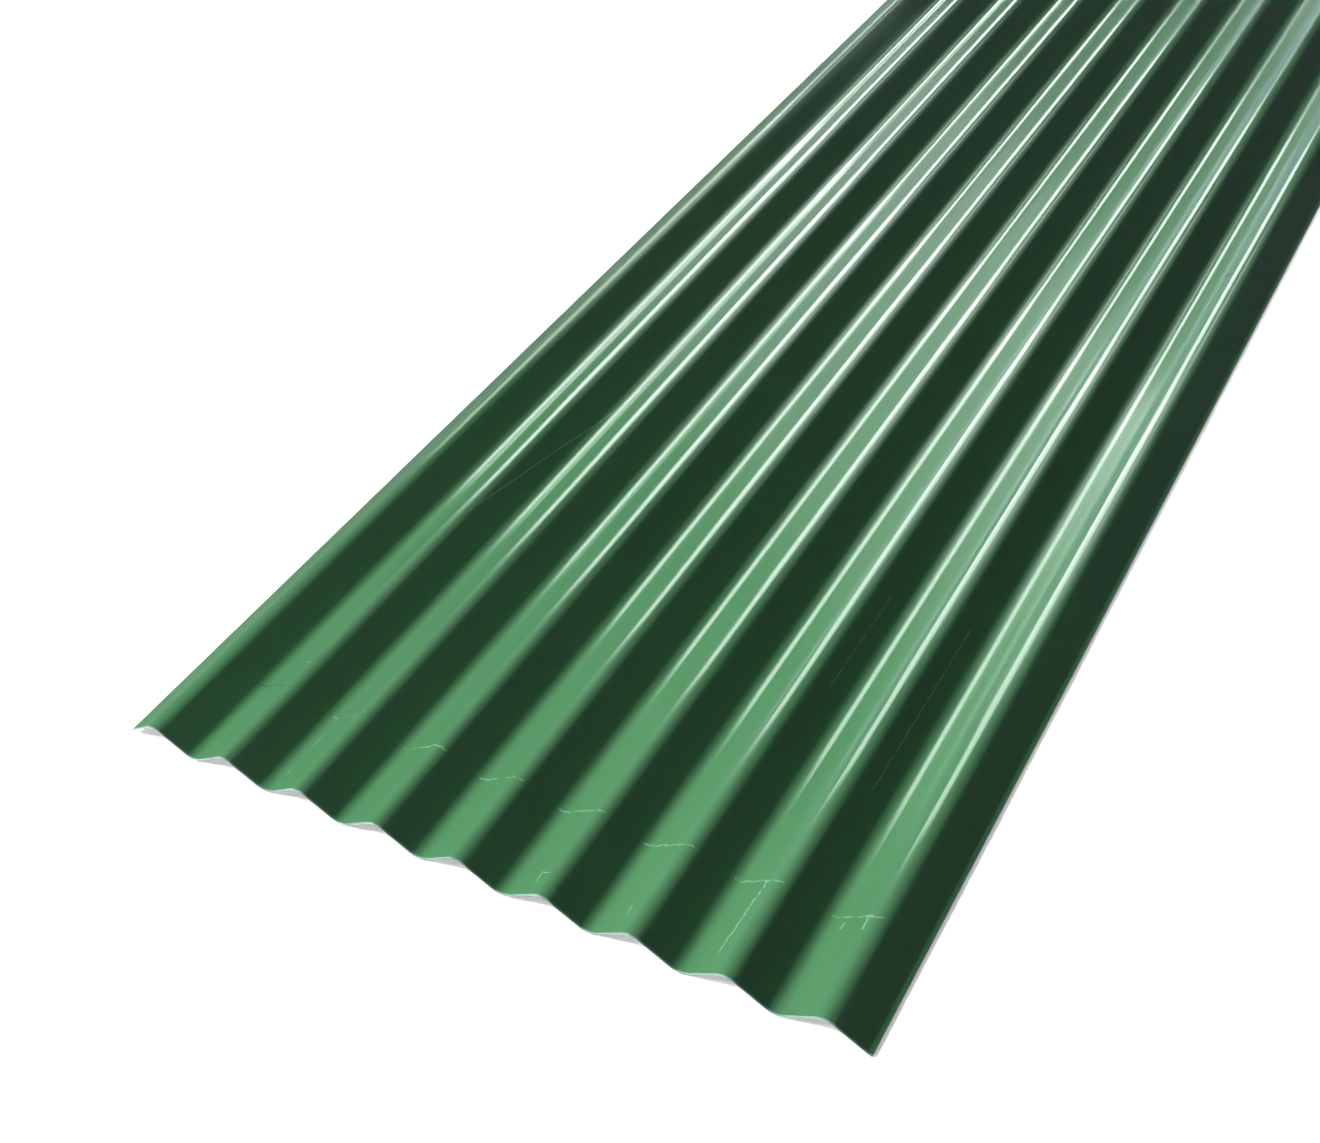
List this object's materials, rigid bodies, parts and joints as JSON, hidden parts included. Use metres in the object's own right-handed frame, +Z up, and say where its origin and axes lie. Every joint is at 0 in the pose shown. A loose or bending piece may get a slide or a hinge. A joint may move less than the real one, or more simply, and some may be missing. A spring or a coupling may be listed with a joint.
{
  "type": "corrugated metal sheet",
  "caption": "Long painted steel sheet rolled into even waves with straight flanks, rounded crests and valleys and turned-down side edges, for roofing and cladding.",
  "frame": {"origin": "middle of the sheet, at the level that its valleys rest on", "axes": "+X across the waves, +Y along the waves, +Z up through the crests"},
  "size_m": [0.6716, 2.44, 0.0198],
  "materials": {
    "coated_steel": "glossy green coil coating over zinc-coated steel"
  },
  "bodies": {
    "root": {"corrugated_sheet": "coated_steel"}
  },
  "joints": []
}
